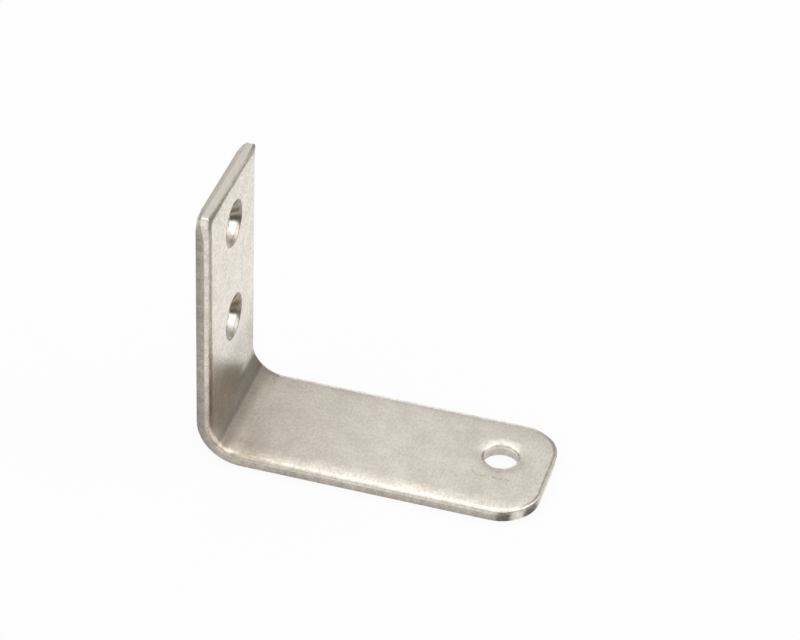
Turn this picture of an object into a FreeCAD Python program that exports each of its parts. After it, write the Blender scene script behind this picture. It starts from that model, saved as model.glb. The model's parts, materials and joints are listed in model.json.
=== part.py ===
import FreeCAD, Part
import math
import os
import Sketcher

# Mounting bracket: one strip of stainless sheet, punched, rounded and folded once into an L.
# Frame: X from the wall leg towards the free end of the base leg, Y across the strip, Z up.
# The origin is on the underside, in the middle of the part's box.

# Driving sizes, in millimetres and degrees
SIZES = [
    ("StripWidth", 20.0, "width of the strip, across Y"),
    ("SheetThickness", 2.0, "thickness of the sheet"),
    ("WallLegHeight", 41.5, "height of the wall leg over the underside"),
    ("BaseLegLength", 49.0, "length of the base leg from the back face"),
    ("InnerBendRadius", 4.5, "inside radius of the fold"),
    ("EndCornerRadius", 6.0, "plan radius of the base leg's two free corners"),
    ("TopCornerRadius", 1.0, "plan radius of the wall leg's two free corners"),
    ("BoltHoleDiameter", 5.0, "plain hole in the base leg"),
    ("BoltHoleFromEnd", 7.5, "centre of the plain hole to the free end"),
    ("BoltHoleOffset", 2.0, "centre of the plain hole to the strip's middle"),
    ("ScrewHoleDiameter", 4.0, "through hole of each countersunk hole"),
    ("ScrewHeadDiameter", 7.0, "mouth of each countersink"),
    ("ScrewHeadAngle", 90.0, "included angle of each countersink"),
    ("ScrewHoleFromTop", 7.5, "centre of the upper countersunk hole to the top end"),
    ("ScrewHolePitch", 16.0, "distance between the two countersunk holes"),
    ("ScrewHoleOffset", 0.6, "centre of the countersunk holes to the strip's middle"),
    ("HoleRimRadius", 0.2, "rounding of the hole mouths on the inside of the fold"),
    ("EdgeRadius", 0.3, "rounding of the outer edge on the inside of the fold"),
    ("BreakZoneHeight", 1.25, "part of the sheared edge that broke instead of being cut"),
    ("BreakZoneInset", 0.15, "how far that part slopes in under the cut part"),
    ("BackEdgeRadius", 0.2, "rounding of the outer edge on the outside of the fold"),
]

# Two places closer than this, in millimetres, are one place
SAME_PLACE = 1e-4
# Positions along an edge at which its course is tested
ALONG_EDGE = (0.1, 0.5, 0.9)
# Ends of a sketch line or arc, and an arc's centre
START, END, CENTRE = 1, 2, 3
# The sketch's own origin, as a piece of its geometry
ORIGIN = -1
# Countersunk holes in the wall leg
SCREW_HOLES = 2

doc = FreeCAD.newDocument("MountingBracket")


def make_sheet():
    """The table of driving sizes: name, value and what each one sets."""
    sheet = doc.addObject("Spreadsheet::Sheet", "Sizes")
    for row, (name, value, meaning) in enumerate(SIZES, start=1):
        sheet.set("A%d" % row, name)
        sheet.set("B%d" % row, str(value))
        sheet.set("C%d" % row, meaning)
        sheet.setAlias("B%d" % row, name)
    doc.recompute()
    return sheet


sizes = make_sheet()


def origin_feature(body, role):
    """The body's own origin plane or axis with this role."""
    for feature in body.Origin.OriginFeatures:
        if feature.Role == role:
            return feature
    raise ValueError("no origin feature " + role)


def new_sketch(body, name, plane):
    """An empty sketch on one of the body's origin planes."""
    sketch = body.newObject("Sketcher::SketchObject", name)
    sketch.AttachmentSupport = [(origin_feature(body, plane), "")]
    sketch.MapMode = "FlatFace"
    return sketch


def tie(sketch, name, expression, *constraint):
    """Add a dimension to a sketch and tie it to the table."""
    index = sketch.addConstraint(Sketcher.Constraint(*constraint))
    sketch.renameConstraint(index, name)
    sketch.setExpression("Constraints." + name, expression)


# Places on the folded strip


def depth_in_sheet(point):
    """How deep a point lies under the outside of the fold: 0 on the back, the thickness inside."""
    back = -sizes.BaseLegLength / 2
    outer_radius = sizes.InnerBendRadius + sizes.SheetThickness
    centre_x = back + outer_radius
    if point.z > outer_radius:
        return point.x - back
    if point.x > centre_x:
        return point.z
    return outer_radius - math.hypot(point.x - centre_x, point.z - outer_radius)


def is_rim(edge, depth):
    """Whether an edge runs round the strip's outline at this depth in the sheet."""
    reach = edge.LastParameter - edge.FirstParameter
    points = [edge.valueAt(edge.FirstParameter + part * reach) for part in ALONG_EDGE]
    if any(abs(depth_in_sheet(point) - depth) > SAME_PLACE for point in points):
        return False
    # Lines across the strip where a leg meets the fold aren't part of the outline
    middle = points[len(points) // 2]
    past_corners = abs(middle.y) > sizes.StripWidth / 2 - sizes.EndCornerRadius
    margin = sizes.BreakZoneInset + SAME_PLACE
    at_free_end = middle.x > sizes.BaseLegLength / 2 - margin
    at_top_end = middle.z > sizes.WallLegHeight - margin
    return past_corners or at_free_end or at_top_end


def is_corner(edge, end_distance):
    """Whether an edge goes straight through the sheet at both sides of the strip, at one of its ends."""
    across = abs(abs(edge.CenterOfMass.y) - sizes.StripWidth / 2)
    short = abs(edge.Length - sizes.SheetThickness)
    return max(across, short, abs(end_distance(edge.CenterOfMass))) < SAME_PLACE


def past_free_end(point):
    return point.x - sizes.BaseLegLength / 2


def past_top_end(point):
    return point.z - sizes.WallLegHeight


def is_hole_mouth(edge):
    """Whether an edge is the round mouth of a hole on the inside of the fold."""
    if not isinstance(edge.Curve, Part.Circle) or not edge.isClosed():
        return False
    radii = (sizes.ScrewHeadDiameter / 2, sizes.BoltHoleDiameter / 2)
    fits = min(abs(edge.Curve.Radius - radius) for radius in radii) < SAME_PLACE
    return fits and abs(depth_in_sheet(edge.Curve.Center) - sizes.SheetThickness) < SAME_PLACE


def edges_where(feature, wanted):
    """Names of the feature's edges that pass a test."""
    numbered = enumerate(feature.Shape.Edges, start=1)
    return ["Edge%d" % number for number, edge in numbered if wanted(edge)]


# Sketches


def make_profile(body):
    """Both legs and the fold between them, as one closed outline."""
    sketch = new_sketch(body, "FoldedProfile", "XZ_Plane")
    half = sizes.BaseLegLength / 2
    top = sizes.WallLegHeight
    wall = sizes.SheetThickness
    inner = sizes.InnerBendRadius
    outer = inner + wall

    def line(x_from, z_from, x_to, z_to):
        ends = FreeCAD.Vector(x_from, z_from, 0), FreeCAD.Vector(x_to, z_to, 0)
        return sketch.addGeometry(Part.LineSegment(*ends), False)

    def fold(radius):
        centre = FreeCAD.Vector(outer - half, outer, 0)
        circle = Part.Circle(centre, FreeCAD.Vector(0, 0, 1), radius)
        return sketch.addGeometry(Part.ArcOfCircle(circle, math.pi, 1.5 * math.pi), False)

    back = line(-half, top, -half, outer)
    outer_fold = fold(outer)
    underside = line(outer - half, 0, half, 0)
    free_end = line(half, 0, half, wall)
    seat = line(half, wall, outer - half, wall)
    inner_fold = fold(inner)
    inner_wall = line(wall - half, outer, wall - half, top)
    top_end = line(wall - half, top, -half, top)

    rules = [
        ("Tangent", back, END, outer_fold, START),
        ("Tangent", outer_fold, END, underside, START),
        ("Coincident", underside, END, free_end, START),
        ("Coincident", free_end, END, seat, START),
        ("Tangent", seat, END, inner_fold, END),
        ("Tangent", inner_fold, START, inner_wall, START),
        ("Coincident", inner_wall, END, top_end, START),
        ("Coincident", top_end, END, back, START),
        ("Coincident", outer_fold, CENTRE, inner_fold, CENTRE),
    ]
    rules += [("Vertical", side) for side in (back, free_end, inner_wall)]
    rules += [("Horizontal", side) for side in (underside, seat, top_end)]
    sketch.addConstraint([Sketcher.Constraint(*rule) for rule in rules])

    half_length = "Sizes.BaseLegLength / 2"
    tie(sketch, "ToFreeEnd", half_length, "DistanceX", ORIGIN, START, underside, END, half)
    tie(sketch, "ToBackFace", half_length, "DistanceX", back, START, ORIGIN, START, half)
    tie(sketch, "LegHeight", "Sizes.WallLegHeight", "DistanceY", underside, END, back, START, top)
    tie(sketch, "Thickness", "Sizes.SheetThickness", "DistanceX", top_end, END, top_end, START, wall)
    tie(sketch, "BendRadius", "Sizes.InnerBendRadius", "Radius", inner_fold, inner)
    sketch.addConstraint(Sketcher.Constraint("PointOnObject", underside, END, ORIGIN))
    return sketch


def make_hole_sketch(body, name, plane, level, radius, place, place_by):
    """One circle at the place of a hole, on the inside of the fold.

    level, radius and place_by are expressions over the table. place holds the
    centre's two distances from the sketch's origin, and place_by ties them.
    """
    sketch = new_sketch(body, name, plane)
    sketch.setExpression("AttachmentOffset.Base.z", level)
    centre = FreeCAD.Vector(*place, 0)
    circle = Part.Circle(centre, FreeCAD.Vector(0, 0, 1), 1)
    mark = sketch.addGeometry(circle, False)
    tie(sketch, "HoleRadius", radius, "Radius", mark, 1)
    tie(sketch, "PlaceX", place_by[0], "DistanceX", ORIGIN, START, mark, CENTRE, place[0])
    tie(sketch, "PlaceY", place_by[1], "DistanceY", ORIGIN, START, mark, CENTRE, place[1])
    return sketch


# Steps of making the bracket, in the order of its features


def add_strip(body):
    """The folded strip at full width, with square edges."""
    strip = body.newObject("PartDesign::Pad", "FoldedStrip")
    strip.Profile = make_profile(body)
    strip.SideType = "Symmetric"
    strip.setExpression("Length", "Sizes.StripWidth")
    doc.recompute()
    return strip


def add_fillet(body, name, base, wanted, radius):
    """A rounding along those edges of the last feature that pass a test."""
    fillet = body.newObject("PartDesign::Fillet", name)
    fillet.Base = (base, edges_where(base, wanted))
    fillet.setExpression("Radius", radius)
    doc.recompute()
    return fillet


def add_break_zone(body, base):
    """The lower part of the sheared edge, which slopes in all round the outline."""
    zone = body.newObject("PartDesign::Chamfer", "BreakZone")
    zone.Base = (base, edges_where(base, lambda edge: is_rim(edge, 0)))
    zone.ChamferType = "Two distances"
    zone.setExpression("Size", "Sizes.BreakZoneHeight")
    zone.setExpression("Size2", "Sizes.BreakZoneInset")
    doc.recompute()
    return zone


def add_bolt_hole(body):
    """The plain hole through the base leg, near its free end."""
    place = (sizes.BaseLegLength / 2 - sizes.BoltHoleFromEnd, sizes.BoltHoleOffset)
    place_by = ("Sizes.BaseLegLength / 2 - Sizes.BoltHoleFromEnd", "Sizes.BoltHoleOffset")
    radius = "Sizes.BoltHoleDiameter / 2"
    sketch = make_hole_sketch(body, "BoltHolePlace", "XY_Plane", "Sizes.SheetThickness",
                              radius, place, place_by)
    hole = body.newObject("PartDesign::Hole", "BoltHole")
    hole.Profile = sketch
    hole.DepthType = "ThroughAll"
    hole.setExpression("Diameter", "Sizes.BoltHoleDiameter")
    doc.recompute()
    return hole


def add_screw_holes(body):
    """Two countersunk holes through the wall leg, one above the other, sunk from the inside."""
    place = (sizes.ScrewHoleOffset, sizes.WallLegHeight - sizes.ScrewHoleFromTop)
    place_by = ("Sizes.ScrewHoleOffset", "Sizes.WallLegHeight - Sizes.ScrewHoleFromTop")
    level = "Sizes.SheetThickness - Sizes.BaseLegLength / 2"
    radius = "Sizes.ScrewHoleDiameter / 2"
    sketch = make_hole_sketch(body, "ScrewHolePlace", "YZ_Plane", level, radius, place, place_by)
    hole = body.newObject("PartDesign::Hole", "ScrewHole")
    hole.Profile = sketch
    hole.DepthType = "ThroughAll"
    hole.setExpression("Diameter", "Sizes.ScrewHoleDiameter")
    hole.HoleCutType = "Countersink"
    hole.HoleCutCustomValues = True
    hole.setExpression("HoleCutDiameter", "Sizes.ScrewHeadDiameter")
    hole.setExpression("HoleCutCountersinkAngle", "Sizes.ScrewHeadAngle")
    doc.recompute()

    row = body.newObject("PartDesign::LinearPattern", "ScrewHoles")
    row.Originals = [hole]
    row.Direction = (origin_feature(body, "Z_Axis"), [""])
    row.Reversed = True
    row.Occurrences = SCREW_HOLES
    row.setExpression("Length", "Sizes.ScrewHolePitch * %d" % (SCREW_HOLES - 1))
    body.Tip = row
    doc.recompute()
    return row


def make_bracket():
    body = doc.addObject("PartDesign::Body", "Bracket")
    body.Label = "bracket"
    strip = add_strip(body)
    ends = add_fillet(body, "EndCorners", strip, lambda edge: is_corner(edge, past_free_end),
                      "Sizes.EndCornerRadius")
    tops = add_fillet(body, "TopCorners", ends, lambda edge: is_corner(edge, past_top_end),
                      "Sizes.TopCornerRadius")
    rim = add_fillet(body, "RolledEdge", tops, lambda edge: is_rim(edge, sizes.SheetThickness),
                     "Sizes.EdgeRadius")
    zone = add_break_zone(body, rim)
    add_fillet(body, "BackEdge", zone, lambda edge: is_rim(edge, 0), "Sizes.BackEdgeRadius")
    add_bolt_hole(body)
    holes = add_screw_holes(body)
    add_fillet(body, "HoleMouths", holes, is_hole_mouth, "Sizes.HoleRimRadius")
    return body


def check_document():
    """Stop with a message if any feature failed."""
    for thing in doc.Objects:
        if "Invalid" in thing.State or "Error" in thing.State:
            raise RuntimeError(thing.Name + " failed")


def export(body):
    if body.Shape.isNull() or not body.Shape.isValid():
        raise RuntimeError(body.Label + " has no sound shape")
    os.makedirs("parts", exist_ok=True)
    body.Shape.exportStep("parts/%s.step" % body.Label)


bracket = make_bracket()
check_document()
export(bracket)
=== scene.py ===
import json
import math

import bmesh
import bpy
import numpy as np
from mathutils import Matrix, Vector
from mathutils.geometry import delaunay_2d_cdt


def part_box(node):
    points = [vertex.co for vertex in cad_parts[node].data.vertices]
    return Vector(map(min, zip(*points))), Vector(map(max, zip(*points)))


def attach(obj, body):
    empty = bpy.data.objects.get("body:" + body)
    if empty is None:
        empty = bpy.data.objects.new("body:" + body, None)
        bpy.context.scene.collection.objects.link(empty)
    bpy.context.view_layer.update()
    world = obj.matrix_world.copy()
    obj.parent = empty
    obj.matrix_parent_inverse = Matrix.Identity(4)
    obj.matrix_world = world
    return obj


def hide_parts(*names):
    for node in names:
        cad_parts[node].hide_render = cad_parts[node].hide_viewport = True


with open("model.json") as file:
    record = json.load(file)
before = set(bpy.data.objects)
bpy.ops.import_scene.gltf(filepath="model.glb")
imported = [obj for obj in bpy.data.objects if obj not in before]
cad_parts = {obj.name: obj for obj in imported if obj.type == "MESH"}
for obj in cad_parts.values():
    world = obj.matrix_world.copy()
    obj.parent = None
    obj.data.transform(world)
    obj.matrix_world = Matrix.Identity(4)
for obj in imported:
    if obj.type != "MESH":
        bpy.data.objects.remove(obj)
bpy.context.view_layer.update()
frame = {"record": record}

# The bracket is made again here in a finer mesh, in millimetres: a flat strip with coordinates
# along it from the top end, across it, and down into the sheet from the face inside the fold.
# The strip is then folded, and its points are given in metres in the frame of the CAD.
MILLIMETRE = 0.001

low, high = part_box("bracket")
mounts = {mount["name"]: mount for mount in frame["record"]["mounts"]}


def in_millimetres(metres):
    return metres / MILLIMETRE


LENGTH = in_millimetres(high.x - low.x)
HEIGHT = in_millimetres(high.z - low.z)
WIDTH = in_millimetres(high.y - low.y)
BACK = in_millimetres(low.x)
MIDDLE = in_millimetres(low.y + high.y) / 2

# The sheet and its fold
THICKNESS = 2.0
BEND_RADIUS = 4.5
OUTER_RADIUS = BEND_RADIUS + THICKNESS
WALL_RUN = HEIGHT - OUTER_RADIUS
FOLD_RUN = BEND_RADIUS * math.pi / 2
BASE_RUN = LENGTH - OUTER_RADIUS
STRIP_RUN = WALL_RUN + FOLD_RUN + BASE_RUN

# The corners of the outline in the flat. A ring that is moved in keeps at least the smallest one.
END_CORNER = 6.0
TOP_CORNER = 0.5
SMALLEST_CORNER = 0.3

# The sheared edge starts with a wide roll and a small round rim, which draw the face down. The
# near side has the plain values. TOP and FREE are the top end and the free end, ENDS is both, FAR
# is the far side, and CORNER is the near corner of the base leg.
ROLL_WIDTH = 2.9
ROLL_DROP = 0.15
TOP_ROLL_DROP = 0.08
FREE_ROLL_DROP = 0.11
FAR_ROLL_DROP = 0.05
CORNER_ROLL_DROP = 0.07
RIM_WIDTH = 0.85
ENDS_RIM_WIDTH = 0.27
FAR_RIM_WIDTH = 1.0
RIM_DROP = 0.15
ENDS_RIM_DROP = 0.04
FAR_RIM_DROP = 0.3

# Then comes the cut band down to this depth, a crease, the torn band, which runs in, and the
# rounded edge of the outer face
CUT_END = 0.65
TOP_CUT_END = 1.25
CREASE = 0.05
CREASE_INSET = 0.02
BREAK_INSET = 0.15
BACK_EDGE = 0.2
TOP_BACK_EDGE = 0.3

# Rows under the rim and before the crease keep the shading of the cut band straight
RIM_SUPPORT = 0.05
CUT_SUPPORT = 0.15
SMALLEST_STEP = 0.01

# The two corners at the top end, which the tumbling rounded more, and how far from them that
# starts to fade and ends
TOP_CORNER_RIM_DROP = 0.35
TOP_CORNER_BACK_EDGE = 0.75
TOP_CORNER_REACH = (0.6, 2.2)

# A dark line of painted shade beside the rim, a painted dark reflection: how far in it is, how
# far it reaches to each side, and how dark it is. At the top end it loses a part towards the far
# side, and on the wall leg it fades out round the start of the fold.
WALL_LINE = (0.9, 0.8)
WALL_LINE_SHARE = 0.7
WALL_LINE_FADE = 3.0
TOP_LINE = (0.64, 0.62)
TOP_LINE_SHARE = 0.8
TOP_LINE_LOSS = 0.4
FREE_LINE = (0.37, 0.24)
FREE_LINE_SHARE = 0.68
LINE_CORE = 0.3

# Marks on the near corner of the base leg: the way the outline faces at the middle of each, how
# far it reaches to each side, both in degrees, and the share of that where it is full
DARK_MARK = (20, 15)
BRIGHT_MARK = (40, 16)
DULL_MARK = (62, 20)
DULL_MARK_SHARE = 0.95
MARK_CORE = 0.4

# Where the roll draws the face down less: at that corner, as a mark, and before it on the near
# side, from the first distance to the free end and fully from the second
ROLL_MARK = (40, 45)
ROLL_FADE = (16.0, 7.0)
ROLL_FADE_SHARE = 0.8

# How far a point of the outline faces one way, as a cosine, when it starts to count as on that
# side and when it counts fully
FACES_SIDE = (0.5, 0.95)
FACES_FREE_LINE = (0.5, 0.9)
FACES_OTHER_LINES = (0.3, 0.8)

# How much smoother the edge is at the free end, between two pairs of angles, and at the top end,
# and how rough it is in the punched hole
FREE_END_SMOOTHER = 0.85
FREE_END_FROM = (60, 85)
FREE_END_TO = (95, 120)
TOP_END_SMOOTHER = 0.55
HOLE_SHEAR = 0.6

# Holes: the punched one has a roll, a rim, a cut and a break too, and the countersunk ones have a
# round rim, then a wide curve from one slope to the next, and then a cone
BOLT_ROLL_WIDTH = 1.7
BOLT_ROLL_DROP = 0.11
BOLT_RIM_WIDTH = 0.4
BOLT_RIM_DROP = 0.16
BOLT_BREAK = 0.08
SINK_RADIUS = 3.55
SINK_RIM_RADIUS = 0.35
SINK_CURVE_RADIUS = 4.0
SINK_CURVE_SLOPE = math.radians(33)
SINK_CONE_SLOPE = math.radians(45)
SINK_CREASE = 0.03
HOLE_BACK_EDGE = 0.1

# Where shade is painted in the countersinks, and where they are satin instead of shiny: each is a
# direction round the hole and the cosines from it where it starts and is full. Angle 0 points
# along the strip, to the fold, and 90 degrees to the far side.
SINK_SHADE_SIDE = (math.radians(50), 0.35, 0.65)
SINK_SHADE_FAR = (math.radians(112), 0.5, 0.75)
SINK_SATIN = (math.radians(-12), 0.7, 0.9)

# How dark the painted shade is on the rim, on the curve, and on the far side, and where each
# starts and is full, by the slope as a share of the cone's. The curve's shade ends where the cone
# starts.
SINK_RIM_SHADE = 0.35
SINK_CURVE_SHADE = 0.5
SINK_FAR_SHADE = 0.8
SINK_RIM_FROM = (0.1, 0.4)
SINK_CURVE_FROM = (0.7, 0.8)
SINK_CURVE_TO = (0.92, 0.99)
SINK_FAR_FROM = (0.0, 0.3)

# Fineness of the mesh. Points on the sides stay in place past NEAR_TOP, whatever the ring.
FLAT_STEP = 1.0
FOLD_STEP = 0.3
NEAR_TOP = 4.0
CORNER_STEPS = 14
ROLL_STEPS = 12
RIM_STEPS = 12
BACK_STEPS = 5
SINK_STEPS = 8
HOLE_STEPS = 96

# How near the points inside a face come to the top end, to the other sides and to any ring
TOP_CLEARANCE = 0.8 * FLAT_STEP
SIDE_CLEARANCE = 0.6 * FLAT_STEP
RING_CLEARANCE = 0.5 * FLAT_STEP

# What delaunay_2d_cdt is asked for: all triangles inside its outer edges, with points that are
# nearer than this made one
INSIDE_TRIANGLES = 1
SAME_POINT = 1e-6


def place_along(point):
    """How far from the top end a point of the CAD's frame is, along the flat strip."""
    x, z = in_millimetres(point[0]), in_millimetres(point[2])
    if z > OUTER_RADIUS:
        return HEIGHT - z
    return WALL_RUN + FOLD_RUN + x - BACK - OUTER_RADIUS


def fold_up(flat):
    """Points of the flat strip, folded, in metres."""
    along, across, depth = flat[:, 0], flat[:, 1], flat[:, 2]
    turned = np.clip((along - WALL_RUN) / BEND_RADIUS, 0, math.pi / 2)
    radius = BEND_RADIUS + depth
    above = np.maximum(WALL_RUN - along, 0)
    beyond = np.maximum(along - WALL_RUN - FOLD_RUN, 0)
    x = BACK + OUTER_RADIUS - radius * np.cos(turned) + beyond
    z = OUTER_RADIUS - radius * np.sin(turned) + above
    return np.column_stack([x, across + MIDDLE, z]) * MILLIMETRE


def smooth(value, start, end):
    """0 before start and 1 past end, with a soft step between."""
    part = np.clip((value - start) / (end - start), 0, 1)
    return part * part * (3 - 2 * part)


def stations():
    """Places along the long sides, close together in the fold."""

    def spread(start, end, step):
        return np.linspace(start, end, round((end - start) / step) + 1)

    fold_end = WALL_RUN + FOLD_RUN
    wall = spread(NEAR_TOP, WALL_RUN, FLAT_STEP)
    fold = spread(WALL_RUN, fold_end, FOLD_STEP)
    base = spread(fold_end, STRIP_RUN - END_CORNER, FLAT_STEP)
    return np.concatenate([wall[:-1], fold[:-1], base])


ALONG_SIDES = stations()


def corner_arc(centre, radius, start):
    """Points on a quarter turn in the flat, without its two ends. Angle 0 points along the strip."""
    angles = start - math.pi / 2 * np.arange(1, CORNER_STEPS) / CORNER_STEPS
    return np.column_stack([centre[0] + radius * np.cos(angles), centre[1] + radius * np.sin(angles)])


def outline_ring(inset):
    """The outline of the flat strip, moved in by inset. Every ring has as many points."""
    side = WIDTH / 2 - inset
    top_radius = max(TOP_CORNER - inset, SMALLEST_CORNER)
    end_radius = END_CORNER - inset
    end = STRIP_RUN - END_CORNER

    near_top = np.linspace(inset + top_radius, NEAR_TOP, round(NEAR_TOP / FLAT_STEP) + 1)
    along = np.concatenate([near_top[:-1], ALONG_SIDES])
    across_top = np.linspace(top_radius - side, side - top_radius, round(WIDTH / FLAT_STEP) + 1)
    across_end = np.linspace(side - end_radius, end_radius - side,
                             round((WIDTH - 2 * END_CORNER) / FLAT_STEP) + 1)
    return np.vstack([
        np.column_stack([np.full(len(across_top), inset), across_top]),
        corner_arc((inset + top_radius, side - top_radius), top_radius, math.pi),
        np.column_stack([along, np.full(len(along), side)]),
        corner_arc((end, side - end_radius), end_radius, math.pi / 2),
        np.column_stack([np.full(len(across_end), STRIP_RUN - inset), across_end]),
        corner_arc((end, end_radius - side), end_radius, 0),
        np.column_stack([along[::-1], np.full(len(along), -side)]),
        corner_arc((inset + top_radius, top_radius - side), top_radius, -math.pi / 2),
    ])


OUTLINE = outline_ring(0.0)
INWARD = outline_ring(1.0) - OUTLINE

# The way each point of the outline faces: 0 at the near side, 90 degrees at the free end
FACING = np.degrees(np.arctan2(-INWARD[:, 0], INWARD[:, 1]))

AT_TOP = smooth(INWARD[:, 0], *FACES_SIDE)
AT_FREE_END = smooth(-INWARD[:, 0], *FACES_SIDE)
AT_NEAR = smooth(INWARD[:, 1], *FACES_SIDE)
AT_FAR = smooth(-INWARD[:, 1], *FACES_SIDE)

TO_TOP_CORNER = np.hypot(OUTLINE[:, 0], WIDTH / 2 - np.abs(OUTLINE[:, 1]))
AT_TOP_CORNER = 1 - smooth(TO_TOP_CORNER, *TOP_CORNER_REACH)

HOLE_TURNS = 2 * math.pi * np.arange(HOLE_STEPS) / HOLE_STEPS


def moved_in(insets):
    """The outline with its points moved in, all by one distance or each by its own."""
    return OUTLINE + INWARD * np.broadcast_to(insets, len(OUTLINE))[:, None]


def hole_ring(centre, radius):
    """A ring of points round the middle of a hole in the flat."""
    return np.column_stack([centre[0] + radius * np.cos(HOLE_TURNS),
                            centre[1] + radius * np.sin(HOLE_TURNS)])


def near_mark(middle, reach):
    """1 where the outline faces the middle of a mark on the near corner, and 0 beyond its reach."""
    return 1 - smooth(abs(FACING - middle), reach * MARK_CORE, reach)


def sheared_share():
    """How rough the sheared edge is: less at the top end, hardly at the free end, not in one mark."""
    at_free_end = smooth(FACING, *FREE_END_FROM) * (1 - smooth(FACING, *FREE_END_TO))
    share = (1 - FREE_END_SMOOTHER * at_free_end) * (1 - near_mark(*BRIGHT_MARK))
    return share * (1 - TOP_END_SMOOTHER * AT_TOP)


def by_side(plain, *others):
    """A size at each point of the outline: the plain one, and others by their shares there."""
    return plain + sum((other - plain) * share for other, share in others)


def moved_to(size, other, share):
    """A size that goes over to another one by its share at each point of the outline."""
    return size + (other - size) * share


def roll_drops():
    """How far the roll draws the face down at each point of the outline."""
    drops = by_side(ROLL_DROP, (TOP_ROLL_DROP, AT_TOP), (FREE_ROLL_DROP, AT_FREE_END),
                    (FAR_ROLL_DROP, AT_FAR))
    before_corner = smooth(OUTLINE[:, 0], STRIP_RUN - ROLL_FADE[0], STRIP_RUN - ROLL_FADE[1])
    before_corner *= AT_NEAR * ROLL_FADE_SHARE
    return moved_to(drops, CORNER_ROLL_DROP, np.maximum(near_mark(*ROLL_MARK), before_corner))


def rim_drops():
    """How far the rim drops at each point of the outline."""
    drops = by_side(RIM_DROP, (ENDS_RIM_DROP, AT_TOP + AT_FREE_END), (FAR_RIM_DROP, AT_FAR))
    return moved_to(drops, TOP_CORNER_RIM_DROP, AT_TOP_CORNER)


def rim_widths():
    """How wide the rim is at each point of the outline."""
    return by_side(RIM_WIDTH, (ENDS_RIM_WIDTH, AT_TOP + AT_FREE_END), (FAR_RIM_WIDTH, AT_FAR))


def back_edges():
    """The rounding of the outer face at each point of the outline."""
    return moved_to(by_side(BACK_EDGE, (TOP_BACK_EDGE, AT_TOP)), TOP_CORNER_BACK_EDGE, AT_TOP_CORNER)


def drawn_down(inset, roll_width, roll_drop, rim_width, rim_drop):
    """How far a face is drawn down at this distance from its edge, by its roll and by its rim."""
    roll = roll_drop * max(0.0, 1 - inset / roll_width) ** 2
    reach = np.maximum(0.0, 1 - inset / rim_width)
    return roll + rim_drop * (1 - np.sqrt(1 - reach * reach))


def rolled_rows(roll_width, roll_drop, rim_width, rim_drop):
    """Rows from the flat face over a roll and a rim to the wall, where the last two are.

    A row is its distance from the wall, its depth, and its share of wall.
    """
    rim_start = np.max(rim_width)
    insets = list(np.linspace(roll_width, rim_start, ROLL_STEPS, endpoint=False))
    insets += [rim_start * (1 - math.sin(math.pi / 2 * step / RIM_STEPS)) for step in range(RIM_STEPS)]
    rows = [(inset, drawn_down(inset, roll_width, roll_drop, rim_width, rim_drop), 0.0)
            for inset in insets]
    wall_start = roll_drop + rim_drop
    return rows + [(0.0, wall_start, 1.0), (0.0, wall_start + RIM_SUPPORT, 1.0)]


def back_edge_rows(inset, radius):
    """Rows from the wall round the edge of the outer face."""
    turns = [math.pi / 2 * step / BACK_STEPS for step in range(BACK_STEPS + 1)]
    return [(inset + radius * (1 - math.cos(turn)), THICKNESS - radius * (1 - math.sin(turn)),
             math.cos(turn)) for turn in turns]


def dull_line(inset):
    """How much painted shade darkens each point of the outline at this distance in, most beside the rim.
    """

    def on_line(place, reach):
        return 1 - smooth(abs(inset - place), reach * LINE_CORE, reach)

    at_free_end = smooth(-INWARD[:, 0], *FACES_FREE_LINE) * FREE_LINE_SHARE
    at_top = smooth(INWARD[:, 0], *FACES_OTHER_LINES)
    at_top *= TOP_LINE_SHARE - TOP_LINE_LOSS * OUTLINE[:, 1] / WIDTH
    on_wall_leg = smooth(INWARD[:, 1], *FACES_OTHER_LINES) * WALL_LINE_SHARE
    on_wall_leg *= 1 - smooth(OUTLINE[:, 0], WALL_RUN - WALL_LINE_FADE, WALL_RUN + WALL_LINE_FADE)
    lines = (on_wall_leg * on_line(*WALL_LINE) + at_top * on_line(*TOP_LINE)
             + at_free_end * on_line(*FREE_LINE))
    return np.minimum(lines, 1)


def sheared_edge():
    """Rows across the sheared edge of the strip, with the depth at which its cut ends.

    A row is its points, their depths, their share of wall, and how much painted shade darkens them.
    """
    roll_drop = roll_drops()
    rim_drop = rim_drops()
    cut_end = TOP_CUT_END + (CUT_END - TOP_CUT_END) * smooth(OUTLINE[:, 0], 0.0, NEAR_TOP)
    marked = np.maximum(near_mark(*DARK_MARK), near_mark(*DULL_MARK) * DULL_MARK_SHARE)

    rows = [(outline_ring(inset), depth, walled, dull_line(inset) + marked * walled)
            for inset, depth, walled in rolled_rows(ROLL_WIDTH, roll_drop, rim_widths(), rim_drop)]
    cut_start = roll_drop + rim_drop + RIM_SUPPORT
    supported = np.maximum(cut_end - CREASE - CUT_SUPPORT, cut_start + SMALLEST_STEP)
    crease_start = np.maximum(cut_end - CREASE, supported + SMALLEST_STEP)
    rows += [(OUTLINE, supported, 1.0, marked), (OUTLINE, crease_start, 1.0, marked),
             (moved_in(CREASE_INSET), cut_end + CREASE, 1.0, marked)]
    rows += [(moved_in(inset), depth, walled, marked * walled)
             for inset, depth, walled in back_edge_rows(BREAK_INSET, back_edges())]
    return rows, cut_end


def bolt_hole_rows():
    """Rows down the plain hole, which was punched like the outline."""
    rows = rolled_rows(BOLT_ROLL_WIDTH, BOLT_ROLL_DROP, BOLT_RIM_WIDTH, BOLT_RIM_DROP)
    rows += [(0.0, CUT_END - CREASE, 1.0), (CREASE_INSET, CUT_END + CREASE, 1.0)]
    return rows + back_edge_rows(BOLT_BREAK, HOLE_BACK_EDGE)


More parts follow.
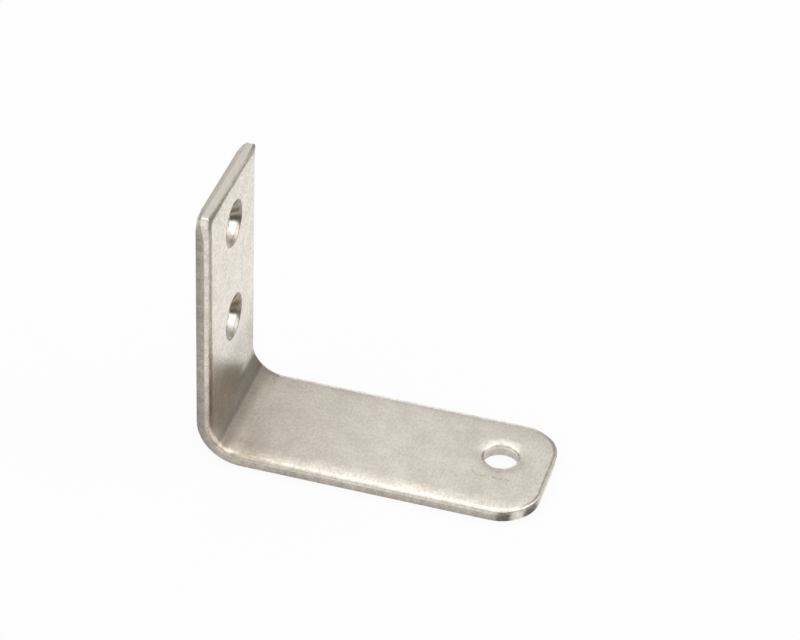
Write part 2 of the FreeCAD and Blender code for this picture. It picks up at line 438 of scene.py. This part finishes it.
def sink_rows(radius):
    """Rows down a countersunk hole, by their distance from the wall of its through hole.

    Its rim rounds out of the face, a wide curve goes on to the slope of the cone, and the cone
    ends in the through hole. The share of wall is the slope as a share of the cone's.
    """
    out, depth, slope_before = SINK_RADIUS - radius, 0.0, 0.0
    rows = [(out, depth, 0.0)]
    rim_slopes = np.linspace(0, SINK_CURVE_SLOPE, SINK_STEPS + 1)[1:]
    curve_slopes = np.linspace(SINK_CURVE_SLOPE, SINK_CONE_SLOPE, SINK_STEPS + 1)[1:]
    for slopes, bend in ((rim_slopes, SINK_RIM_RADIUS), (curve_slopes, SINK_CURVE_RADIUS)):
        for slope in slopes:
            out -= bend * (math.sin(slope) - math.sin(slope_before))
            depth += bend * (math.cos(slope_before) - math.cos(slope))
            slope_before = slope
            rows.append((out, depth, slope / SINK_CONE_SLOPE))
    for part in np.linspace(0, 1, SINK_STEPS)[1:-1]:
        rows.append((out * (1 - part), depth + out * part, 1.0))
    cone_end = depth + out
    rows += [(SINK_CREASE, cone_end - SINK_CREASE, 1.0), (0.0, cone_end + SINK_CREASE, 1.0)]
    return rows + back_edge_rows(0.0, HOLE_BACK_EDGE)


def towards(direction, start, end):
    """1 on the side of a hole's ring that lies in this direction."""
    return smooth(np.cos(HOLE_TURNS - direction), start, end)


def dull_in_sink(walled):
    """How dark the painted shade is round one row of a countersink."""
    to_curve = smooth(walled, *SINK_CURVE_FROM)
    on_rim = SINK_RIM_SHADE * smooth(walled, *SINK_RIM_FROM) * (1 - to_curve)
    on_curve = SINK_CURVE_SHADE * to_curve * (1 - smooth(walled, *SINK_CURVE_TO))
    at_far = SINK_FAR_SHADE * smooth(walled, *SINK_FAR_FROM)
    return np.maximum.reduce([np.full(HOLE_STEPS, on_rim), towards(*SINK_SHADE_SIDE) * on_curve,
                              towards(*SINK_SHADE_FAR) * at_far])


def holes_in_flat():
    """Each hole as its centre in the flat, its radius, its rows, and 1 if it is countersunk."""
    bolt = mounts["bolt_hole"]
    screws = mounts["screw_holes"]
    bolt_centre = (place_along(bolt["pos_m"]), in_millimetres(bolt["pos_m"][1]) - MIDDLE)
    found = [(bolt_centre, bolt["dims"]["r_mm"], bolt_hole_rows(), 0.0)]

    middle = place_along(screws["pos_m"])
    across = in_millimetres(screws["pos_m"][1]) - MIDDLE
    radius = screws["dims"]["hole_r_mm"]
    half_spacing = screws["dims"]["spacing_y_mm"] / 2
    for offset in (-half_spacing, half_spacing):
        found.append(((middle + offset, across), radius, sink_rows(radius), 1.0))
    return found


# What the finish needs to know of each point: how much it is the rough wall of the shear, or the
# shiny wall of a countersink, how far it is past the end of the cut, how much painted shade and the
# marks on the near corner darken it, and how satin such a shiny wall is
FINISH = ("shear", "turning", "past_cut", "dull", "satin")


class FlatMesh:
    """Vertices in the flat strip's coordinates, with the values of the finish, and faces."""

    def __init__(self):
        self.flat = []
        self.finish = {name: [] for name in FINISH}
        self.faces = []

    def ring(self, points, depth, cut_end=CUT_END, **finish):
        """Add a closed ring of points, and return the numbers of its vertices."""
        first = len(self.flat)
        depths = np.broadcast_to(depth, len(points))
        self.flat += [(point[0], point[1], deep) for point, deep in zip(points, depths)]
        finish["past_cut"] = depths - cut_end
        for name in FINISH:
            self.finish[name] += list(np.broadcast_to(finish.get(name, 0.0), len(points)))
        return list(range(first, len(self.flat)))

    def band(self, rings):
        """Join each ring to the next, which has as many vertices, by a band of faces."""
        for ring_a, ring_b in zip(rings, rings[1:]):
            after_a = ring_a[1:] + ring_a[:1]
            after_b = ring_b[1:] + ring_b[:1]
            self.faces += list(zip(ring_a, after_a, after_b, ring_b))

    def fill(self, outer, holes, inset, depth):
        """Fill a face of the strip between its outer ring, at this inset, and its holes."""
        loops = [outer] + [ring for ring, centre, radius in holes]
        numbers = [number for loop in loops for number in loop]
        points = [Vector(self.flat[number][:2]) for number in numbers]
        edges = []
        first = 0
        for loop in loops:
            edges += [(first + step, first + (step + 1) % len(loop)) for step in range(len(loop))]
            first += len(loop)
        inside = points_inside(inset, holes)
        points += [Vector(point) for point in inside]
        numbers += self.ring(inside, depth)
        made = delaunay_2d_cdt(points, edges, [], INSIDE_TRIANGLES, SAME_POINT)
        places, triangles, origins = made[0], made[2], made[3]
        for triangle in triangles:
            middle = sum((places[corner] for corner in triangle), Vector((0, 0))) / len(triangle)
            if any((middle - Vector(centre)).length < radius for ring, centre, radius in holes):
                continue
            self.faces.append(tuple(numbers[origins[corner][0]] for corner in triangle))


def points_inside(inset, holes):
    """Points on a face of the strip, clear of its outer ring and its holes."""
    room = WIDTH / 2 - inset - SIDE_CLEARANCE
    end = STRIP_RUN - END_CORNER
    columns = np.linspace(-room, room, round(2 * room / FLAT_STEP) + 1)
    starts = np.arange(inset + TOP_CLEARANCE, NEAR_TOP, FLAT_STEP)
    ends = np.arange(end + FLAT_STEP, STRIP_RUN - inset, FLAT_STEP)
    found = []
    for along in np.concatenate([starts, ALONG_SIDES, ends]):
        for across in columns:
            past_end = max(along - end, 0)
            past_side = max(abs(across) - (WIDTH / 2 - END_CORNER), 0)
            if math.hypot(past_end, past_side) > END_CORNER - inset - RING_CLEARANCE:
                continue
            if any(math.dist((along, across), centre) < radius + RING_CLEARANCE
                   for ring, centre, radius in holes):
                continue
            found.append((float(along), float(across)))
    return found


def bracket_mesh():
    """The whole bracket in the flat."""
    mesh = FlatMesh()
    rows, cut_end = sheared_edge()
    shear = sheared_share()
    rings = [mesh.ring(points, depth, cut_end, shear=walled * shear, dull=dull)
             for points, depth, walled, dull in rows]
    mesh.band(rings)

    inner_holes = []
    outer_holes = []
    satin = towards(*SINK_SATIN)
    for centre, radius, hole_rows, sunk in holes_in_flat():
        hole = [mesh.ring(hole_ring(centre, radius + out), depth,
                          shear=walled * (1 - sunk) * HOLE_SHEAR, turning=walled * sunk,
                          dull=sunk * dull_in_sink(walled), satin=sunk * satin)
                for out, depth, walled in hole_rows]
        mesh.band(hole[::-1])
        inner_holes.append((hole[0], centre, radius + hole_rows[0][0]))
        outer_holes.append((hole[-1], centre, radius + hole_rows[-1][0]))

    mesh.fill(rings[0], inner_holes, ROLL_WIDTH, 0.0)
    mesh.fill(rings[-1], outer_holes, BREAK_INSET + TOP_CORNER_BACK_EDGE, THICKNESS)
    return mesh


def make_bracket():
    """The folded bracket as an object, with its flat coordinates kept for the finish."""
    flat_mesh = bracket_mesh()
    flat = np.array(flat_mesh.flat)
    mesh = bpy.data.meshes.new("folded_bracket")
    mesh.from_pydata(fold_up(flat).tolist(), [], flat_mesh.faces)
    places = mesh.attributes.new("flat", "FLOAT_VECTOR", "POINT")
    places.data.foreach_set("vector", flat.astype(np.float32).ravel())
    for name, values in flat_mesh.finish.items():
        attribute = mesh.attributes.new(name, "FLOAT", "POINT")
        attribute.data.foreach_set("value", np.array(values, dtype=np.float32))
    work = bmesh.new()
    work.from_mesh(mesh)
    bmesh.ops.recalc_face_normals(work, faces=work.faces)
    work.to_mesh(mesh)
    work.free()
    mesh.shade_smooth()
    made = bpy.data.objects.new("folded_bracket", mesh)
    bpy.context.scene.collection.objects.link(made)
    return made


class Nodes:
    """A short way to write a node tree. A value is a number, a tuple or another node's socket.

    A mix node has sockets for every kind of value, under the same names, so they go by number.
    """

    def __init__(self, owner):
        owner.use_nodes = True
        self.tree = owner.node_tree
        self.tree.nodes.clear()

    def add(self, kind, settings=(), **inputs):
        """A node with these settings, and with its inputs given by name."""
        node = self.tree.nodes.new(kind)
        for name, value in dict(settings).items():
            setattr(node, name, value)
        for name, value in inputs.items():
            self.give(node.inputs[name.replace("_", " ")], value)
        return node

    def give(self, socket, value):
        if isinstance(value, bpy.types.NodeSocket):
            self.tree.links.new(value, socket)
        else:
            socket.default_value = value

    def give_first(self, node, *values):
        """Give the node's first inputs in order, because the names of these repeat."""
        for socket, value in zip(node.inputs, values):
            self.give(socket, value)
        return node

    def math(self, operation, *values):
        node = self.add("ShaderNodeMath", {"operation": operation})
        return self.give_first(node, *values).outputs[0]

    def vector(self, operation, *values, output=0):
        node = self.add("ShaderNodeVectorMath", {"operation": operation})
        return self.give_first(node, *values).outputs[output]

    def split(self, vector):
        """The three parts of a vector."""
        return self.add("ShaderNodeSeparateXYZ", Vector=vector).outputs

    def dimmed(self, vector, share):
        """A colour or vector with all its parts multiplied by one number."""
        node = self.add("ShaderNodeVectorMath", {"operation": "SCALE"}, Scale=share)
        return self.give_first(node, vector).outputs[0]

    def attribute(self, name, output="Fac"):
        return self.add("ShaderNodeAttribute", {"attribute_name": name}).outputs[output]

    def noise(self, vector, stretch, scale, detail, roughness):
        stretched = self.vector("MULTIPLY", vector, stretch)
        return self.add("ShaderNodeTexNoise", Vector=stretched, Scale=scale, Detail=detail,
                        Roughness=roughness).outputs[0]

    def ramp(self, value, low_in, high_in, low_out=0.0, high_out=1.0, kind="SMOOTHSTEP"):
        node = self.add("ShaderNodeMapRange", {"interpolation_type": kind})
        return self.give_first(node, value, low_in, high_in, low_out, high_out).outputs[0]

    def blend(self, patterns, shares):
        """The sum of several patterns, each multiplied by its share."""
        total = 0.0
        for name, share in shares.items():
            total = self.math("ADD", total, self.math("MULTIPLY", patterns[name], share))
        return total

    def mix(self, share, first, second):
        """The first number where share is 0, and the second where it is 1."""
        node = self.add("ShaderNodeMix", {"data_type": "FLOAT"})
        self.give(node.inputs[0], share)
        self.give(node.inputs[2], first)
        self.give(node.inputs[3], second)
        return node.outputs[0]

    def mix_colour(self, share, first, second):
        """The first colour where share is 0, and the second where it is 1."""
        node = self.add("ShaderNodeMix", {"data_type": "RGBA"})
        self.give(node.inputs[0], share)
        self.give(node.inputs[6], first)
        self.give(node.inputs[7], second)
        return node.outputs[2]


WHITE = (1.0, 1.0, 1.0, 1.0)
STEEL = (0.93, 0.865, 0.775, 1.0)
STEEL_DULL = (0.73, 0.675, 0.6, 1.0)
TORN_STEEL = (0.38, 0.345, 0.295, 1.0)

# What the colour is multiplied by on the cut band, and where shade is painted, on the marks and on
# the scuff, which also keep less sheen at a grazing angle, a painted dark reflection
CUT_TINT = (0.9, 0.89, 0.88)
SHADE_AND_SCUFF_TINT = (0.24, 0.22, 0.185)
SHADE_AND_SCUFF_SHEEN = (0.6, 0.57, 0.52, 1.0)

# The patterns of the finish, as noises in the flat: how each is stretched, and its scale, detail
# and roughness
EVEN = (1.0, 1.0, 1.0)
PATTERNS = {
    "grain": ((1.0, 0.65, 1.0), 2.4, 4.0, 0.75),
    "threads": ((0.35, 4.0, 1.0), 1.0, 2.0, 0.5),
    "weft": ((4.0, 0.35, 1.0), 1.0, 2.0, 0.5),
    "clouds": (EVEN, 0.3, 3.0, 0.6),
    "streaks": ((1.0, 1.0, 0.3), 1.0, 2.0, 0.5),
    "pits": (EVEN, 5.0, 2.0, 0.6),
    "gaps": (EVEN, 2.0, 1.0, 0.5),
}
MOTTLE = {"grain": 0.55, "threads": 0.12, "weft": 0.13, "clouds": 0.2}
MOTTLE_RANGE = (0.447, 0.553)

# The torn band: what makes its border ragged, how deep that reaches, and how far it fades with the
# distance from the top end. Then what makes its spots, and the painted shade on it, as the share
# of its colour that it keeps, by the distance past the cut and from the wall leg to the base leg.
RAGGED = {"streaks": 0.5, "pits": 0.5}
RAGGED_DEPTH = 0.5
RAGGED_ALONG = (0.2, 1.2, 1.0, 0.2)
BROKEN_RANGE = (0.0, 0.2)
TORN = {"streaks": 0.4, "pits": 0.6}
TORN_RANGE = (0.25, 0.75)
TORN_BY_DEPTH = (0.3, 1.2, 1.0, 0.85)
TORN_BY_PLACE = (WALL_RUN, WALL_RUN + FOLD_RUN, 0.78, 0.95)

# How far the cut at the top end is burnished, by the distance from that end. Over 1 is full.
BURNISH_ALONG = (0.2, 1.4, 1.8, 0.0)

# Painted shade in and below the fold: its distance in millimetres past the start of the fold, the
# share of the steel's colour that it keeps there, and how warm it looks, as the share of its blue
# that it loses. Green loses a part of that.
FOLD_SHADES = (
    (-9.0, 1.0, 0.0), (-5.0, 0.75, 0.0), (-2.0, 0.72, 0.02), (0.0, 0.74, 0.04), (1.0, 0.75, 0.05),
    (2.0, 0.67, 0.1), (3.2, 0.5, 0.12), (3.5, 0.53, 0.12), (3.8, 1.0, 0.12), (4.8, 1.0, 0.12),
    (5.5, 0.79, 0.1), (6.2, 0.6, 0.08), (7.2, 0.8, 0.05), (12.0, 0.88, 0.03), (26.0, 1.0, 0.0),
    (42.0, 0.95, 0.0),
)
WARM_GREEN = 0.4

# A fine scuff on the near side of the bolt hole, as points in the CAD's X and Y, in millimetres,
# with how far it reaches to each side, how dull it is, how far a noise moves it aside, and where
# another noise starts to show it and shows it fully
SCUFF = ((13.9, -2.3), (14.7, -3.0), (15.4, -3.2), (16.6, -2.7), (17.6, -3.1), (19.4, -2.9))
SCUFF_WIDTH = 0.24
SCUFF_SHARE = 0.52
SCUFF_WOBBLE = 0.5
SCUFF_GAPS = (0.35, 0.5)
NOISE_MIDDLE = 0.5

# Painted shade, the marks and the scuff let some of the grain through, and in the countersinks the
# painted shade is even
SHADE_AND_SCUFF_GRAIN = (0.3, 0.6, 1.0, 0.75)
SINK_SHADE_SHARE = 0.9

# Roughness by the grain, on the torn band and in the countersinks, and the height of the bump
GRAIN_ROUGHNESS = (0.35, 0.65, 0.36, 0.28)
TORN_ROUGHNESS = 0.5
SINK_ROUGHNESS = 0.2
SATIN_ROUGHNESS = 0.5
GRAIN_BUMP = 0.6
BUMP_HEIGHT = 0.005 * MILLIMETRE


def fold_shade(nodes, along):
    """What the steel's colour is multiplied by in and below the fold."""
    first, last = FOLD_SHADES[0][0], FOLD_SHADES[-1][0]
    node = nodes.add("ShaderNodeValToRGB")
    ramp = node.color_ramp
    while len(ramp.elements) < len(FOLD_SHADES):
        ramp.elements.new(1.0)
    for element, (place, share, warmth) in zip(ramp.elements, FOLD_SHADES):
        element.position = (place - first) / (last - first)
        element.color = (share, share * (1 - warmth * WARM_GREEN), share * (1 - warmth), 1.0)
    span = nodes.ramp(along, WALL_RUN + first, WALL_RUN + last, kind="LINEAR")
    return nodes.give_first(node, span).outputs[0]


def distance_from(nodes, place, start, end):
    """How far a place is from the straight stretch between two points."""
    stretch = end - start
    from_start = nodes.vector("SUBTRACT", place, start)
    share = nodes.vector("DOT_PRODUCT", from_start, stretch / stretch.length_squared, output="Value")
    foot = nodes.dimmed(stretch, nodes.ramp(share, 0.0, 1.0, kind="LINEAR"))
    return nodes.vector("DISTANCE", from_start, foot, output="Value")


def scuffed(nodes, flat, patterns):
    """How scuffed the sheet is: most on the line of the scuff, which wobbles and has gaps."""
    aside = nodes.math("SUBTRACT", patterns["grain"], NOISE_MIDDLE)
    aside = nodes.math("MULTIPLY", aside, SCUFF_WOBBLE)
    place = nodes.vector("ADD", flat, nodes.add("ShaderNodeCombineXYZ", Y=aside).outputs[0])
    points = [Vector((place_along((x * MILLIMETRE, 0, 0)), y - MIDDLE, 0)) for x, y in SCUFF]
    distances = [distance_from(nodes, place, start, end) for start, end in zip(points, points[1:])]
    nearest = distances[0]
    for distance in distances[1:]:
        nearest = nodes.math("MINIMUM", nearest, distance)
    line = nodes.ramp(nearest, 0.0, SCUFF_WIDTH, SCUFF_SHARE, 0.0)
    return nodes.math("MULTIPLY", line, nodes.ramp(patterns["gaps"], *SCUFF_GAPS))


def sheet_colour(nodes, along, patterns):
    """The mottled steel of both faces, with painted shade in and below the fold."""
    mottle = nodes.ramp(nodes.blend(patterns, MOTTLE), *MOTTLE_RANGE)
    return nodes.vector("MULTIPLY", nodes.mix_colour(mottle, STEEL_DULL, STEEL), fold_shade(nodes, along))


def broken_share(nodes, along, finish, patterns):
    """1 on the torn band of the sheared edge, past a ragged border."""
    ragged = nodes.math("MULTIPLY", nodes.blend(patterns, RAGGED), nodes.ramp(along, *RAGGED_ALONG))
    past = nodes.math("ADD", finish["past_cut"], nodes.math("MULTIPLY", ragged, RAGGED_DEPTH))
    return nodes.math("MULTIPLY", finish["shear"], nodes.ramp(past, *BROKEN_RANGE))


def edge_colour(nodes, colour, along, finish, patterns, broken):
    """The sheet's colour, with the cut band and the torn band of the sheared edge."""
    colour = nodes.mix_colour(finish["shear"], colour, nodes.vector("MULTIPLY", colour, CUT_TINT))
    burnished = nodes.math("MULTIPLY", finish["shear"], nodes.ramp(along, *BURNISH_ALONG))
    colour = nodes.mix_colour(burnished, colour, STEEL)
    spots = nodes.ramp(nodes.blend(patterns, TORN), *TORN_RANGE)
    torn = nodes.mix_colour(spots, TORN_STEEL, STEEL_DULL)
    torn = nodes.dimmed(torn, nodes.ramp(finish["past_cut"], *TORN_BY_DEPTH))
    torn = nodes.dimmed(torn, nodes.ramp(along, *TORN_BY_PLACE))
    return nodes.mix_colour(broken, colour, torn)


def dulled_share(nodes, flat, finish, patterns):
    """How much painted shade, the marks and the scuff darken the steel."""
    dull = nodes.math("MAXIMUM", finish["dull"], scuffed(nodes, flat, patterns))
    by_grain = nodes.ramp(patterns["grain"], *SHADE_AND_SCUFF_GRAIN)
    return nodes.math("MULTIPLY", dull, nodes.mix(finish["turning"], by_grain, SINK_SHADE_SHARE))


def satin_steel():
    """Stainless sheet with a mottled mill finish, tumbled, with a sheared and broken edge."""
    material = bpy.data.materials.new("satin_steel")
    nodes = Nodes(material)
    flat = nodes.attribute("flat", "Vector")
    along = nodes.split(flat)[0]
    finish = {name: nodes.attribute(name) for name in FINISH}
    patterns = {name: nodes.noise(flat, *values) for name, values in PATTERNS.items()}

    broken = broken_share(nodes, along, finish, patterns)
    dulled = dulled_share(nodes, flat, finish, patterns)
    colour = sheet_colour(nodes, along, patterns)
    colour = edge_colour(nodes, colour, along, finish, patterns, broken)
    colour = nodes.mix_colour(dulled, colour, nodes.vector("MULTIPLY", colour, SHADE_AND_SCUFF_TINT))
    sheen = nodes.mix_colour(dulled, WHITE, SHADE_AND_SCUFF_SHEEN)

    roughness = nodes.mix(broken, nodes.ramp(patterns["grain"], *GRAIN_ROUGHNESS), TORN_ROUGHNESS)
    in_sink = nodes.mix(finish["satin"], SINK_ROUGHNESS, SATIN_ROUGHNESS)
    roughness = nodes.mix(finish["turning"], roughness, in_sink)
    grain_height = nodes.math("MULTIPLY", patterns["grain"], GRAIN_BUMP)
    height = nodes.mix(finish["shear"], grain_height, patterns["pits"])
    bump = nodes.add("ShaderNodeBump", Strength=1.0, Distance=BUMP_HEIGHT, Height=height)

    shader = nodes.add("ShaderNodeBsdfPrincipled", Metallic=1.0, Base_Color=colour,
                       Roughness=roughness, Specular_Tint=sheen, Normal=bump.outputs[0])
    nodes.add("ShaderNodeOutputMaterial", Surface=shader.outputs[0])
    return material


# The floor. The camera sees it nearly white, and the metal sees it white, but with painted shade
# where it is seen at a grazing angle, which goes by the facing of the layer weight.
FLOOR_SIZE = 4.0
FLOOR_COLOUR = (0.93, 0.93, 0.93, 1.0)
FLOOR_COLOUR_GRAZED = (0.25, 0.25, 0.25, 1.0)
FLOOR_WHITE_TO_CAMERA = 0.92
FLOOR_GRAZED = (0.46, 0.64)

# The painted shade is only between two bearings, from +Y towards +X in degrees, and all round
# close to the bracket, by the distance from its middle in metres
DARK_FROM = (8, 18)
DARK_TO = (130, 150)
DARK_CLOSE = (0.045, 0.06)


def darker_floor(nodes):
    """1 on the part of the floor that has painted shade at a grazing angle."""
    place = nodes.add("ShaderNodeTexCoord").outputs["Object"]
    across, back, rise = nodes.split(place)
    bearing = nodes.math("DEGREES", nodes.math("ARCTAN2", across, back))
    at_right = nodes.math("MULTIPLY", nodes.ramp(bearing, *DARK_FROM),
                          nodes.ramp(bearing, *DARK_TO, 1.0, 0.0))
    away = nodes.vector("LENGTH", place, output="Value")
    return nodes.math("MAXIMUM", at_right, nodes.ramp(away, *DARK_CLOSE, 1.0, 0.0))


def floor_material():
    """A pale floor with a soft shadow, white where the light on it is added to what is seen of it.

    Seen at a grazing angle, as the metal's edges see it, it has painted shade. The camera sees one
    colour from everywhere.
    """
    material = bpy.data.materials.new("pale_floor")
    nodes = Nodes(material)
    path = nodes.add("ShaderNodeLightPath").outputs
    facing = nodes.add("ShaderNodeLayerWeight").outputs["Facing"]
    grazed = nodes.math("MULTIPLY", nodes.ramp(facing, *FLOOR_GRAZED), darker_floor(nodes))

    in_metal = nodes.math("MAXIMUM", path["Is Glossy Ray"], path["Is Transmission Ray"])
    in_metal = nodes.math("MULTIPLY", in_metal, nodes.math("SUBTRACT", 1.0, grazed))
    to_camera = nodes.math("MULTIPLY", path["Is Camera Ray"], FLOOR_WHITE_TO_CAMERA)

    not_to_camera = nodes.math("SUBTRACT", 1.0, path["Is Camera Ray"])
    lit_colour = nodes.mix_colour(nodes.math("MULTIPLY", grazed, not_to_camera),
                                  FLOOR_COLOUR, FLOOR_COLOUR_GRAZED)
    lit = nodes.add("ShaderNodeBsdfDiffuse", Color=lit_colour)
    white = nodes.add("ShaderNodeEmission", Color=WHITE, Strength=1.0)
    seen_white = nodes.math("MAXIMUM", to_camera, in_metal)
    mixed = nodes.give_first(nodes.add("ShaderNodeMixShader"), seen_white, lit.outputs[0],
                             white.outputs[0])
    nodes.add("ShaderNodeOutputMaterial", Surface=mixed.outputs[0])
    return material


def make_floor():
    half = FLOOR_SIZE / 2
    corners = [(-half, -half, 0), (half, -half, 0), (half, half, 0), (-half, half, 0)]
    mesh = bpy.data.meshes.new("floor")
    mesh.from_pydata(corners, [], [(0, 1, 2, 3)])
    mesh.materials.append(floor_material())
    floor = bpy.data.objects.new("floor", mesh)
    floor.location.z = low.z
    bpy.context.scene.collection.objects.link(floor)


# The levels of the sky, and where one goes over to the next: by the height of a direction, 0 at
# the horizon and 1 straight up, or by how far it points back, from -1 to 1
SKY_HORIZON = 0.46
SKY_MIDDLE = 0.385
SKY_MIDDLE_HEIGHT = (0.0, 0.5)
SKY_IN_FRONT = 0.8
SKY_FRONT = (-0.4, 0.0)
SKY_TOP = 0.95
SKY_TOP_HEIGHT = (0.7, 0.85)
BAND_LEVEL = 2.2
BAND_FROM = (0.66, 0.8)
BAND_TO = (0.84, 0.94)
BAND_BACK = (-0.3, 0.1)

# Round patches of the sky, later ones over earlier ones: how far right of straight back and how
# high each is, within which angle it is full and beyond which it ends, in degrees, and its level
GAP_LEVEL = 0.22
CARD_LEVEL = 1.7
REAR_CARD_LEVEL = 1.6
SKY_PATCHES = (
    (32, 19, 18, 32, GAP_LEVEL),
    (84, 12, 30, 34, CARD_LEVEL),
    (105, 44, 12, 24, GAP_LEVEL),
    (-18, 6, 9, 18, REAR_CARD_LEVEL),
)


def sky_patch(nodes, ray, right, height, inner, outer):
    """1 within the inner angle of a direction and 0 beyond the outer one."""
    turn, rise = math.radians(right), math.radians(height)
    centre = (math.sin(turn) * math.cos(rise), math.cos(turn) * math.cos(rise), math.sin(rise))
    near = nodes.vector("DOT_PRODUCT", ray, centre, output="Value")
    return nodes.ramp(near, math.cos(math.radians(outer)), math.cos(math.radians(inner)))


def make_sky():
    """Soft light from all round, with a bright band high over the back, two cards and two gaps."""
    world = bpy.data.worlds.new("studio")
    bpy.context.scene.world = world
    nodes = Nodes(world)
    ray = nodes.add("ShaderNodeTexCoord").outputs["Generated"]
    sides, back, rise = nodes.split(ray)

    level = nodes.ramp(rise, *SKY_MIDDLE_HEIGHT, SKY_HORIZON, SKY_MIDDLE)
    level = nodes.mix(nodes.ramp(back, *SKY_FRONT, 1.0, 0.0), level, SKY_IN_FRONT)
    level = nodes.mix(nodes.ramp(rise, *SKY_TOP_HEIGHT), level, SKY_TOP)
    band = nodes.math("MULTIPLY", nodes.ramp(rise, *BAND_FROM), nodes.ramp(rise, *BAND_TO, 1.0, 0.0))
    level = nodes.mix(nodes.math("MULTIPLY", band, nodes.ramp(back, *BAND_BACK)), level, BAND_LEVEL)
    for *patch, patch_level in SKY_PATCHES:
        level = nodes.mix(sky_patch(nodes, ray, *patch), level, patch_level)
    shader = nodes.add("ShaderNodeBackground", Color=WHITE, Strength=level)
    nodes.add("ShaderNodeOutputWorld", Surface=shader.outputs[0])


# The camera that the photograph was taken with, fitted to the bracket's edges and holes: angles in
# degrees, from straight in front, and lengths in metres
CAMERA_TURN = 14.943
CAMERA_RISE = 36.762
CAMERA_ROLL = 2.446
CAMERA_DISTANCE = 0.42943
CAMERA_AIM = (0.00156, 0.00117, 0.02288)

# In the camera's own millimetres
LENS = 139.557
SENSOR = 36.0


def make_camera():
    turn, rise, roll = (math.radians(angle) for angle in (CAMERA_TURN, CAMERA_RISE, CAMERA_ROLL))
    back = Vector((math.sin(turn) * math.cos(rise), -math.cos(turn) * math.cos(rise), math.sin(rise)))
    data = bpy.data.cameras.new("camera")
    data.lens = LENS
    data.sensor_width = SENSOR
    camera = bpy.data.objects.new("camera", data)
    camera.rotation_mode = "QUATERNION"
    level_view = (-back).to_track_quat("-Z", "Y").to_matrix()
    camera.rotation_quaternion = (level_view @ Matrix.Rotation(roll, 3, "Z")).to_quaternion()
    camera.location = Vector(CAMERA_AIM) + back * CAMERA_DISTANCE
    bpy.context.scene.collection.objects.link(camera)
    bpy.context.scene.camera = camera


bracket = make_bracket()
bracket.data.materials.append(satin_steel())
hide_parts("bracket")
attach(bracket, "root")

make_floor()
make_sky()
make_camera()
bpy.context.scene.view_settings.view_transform = "Standard"
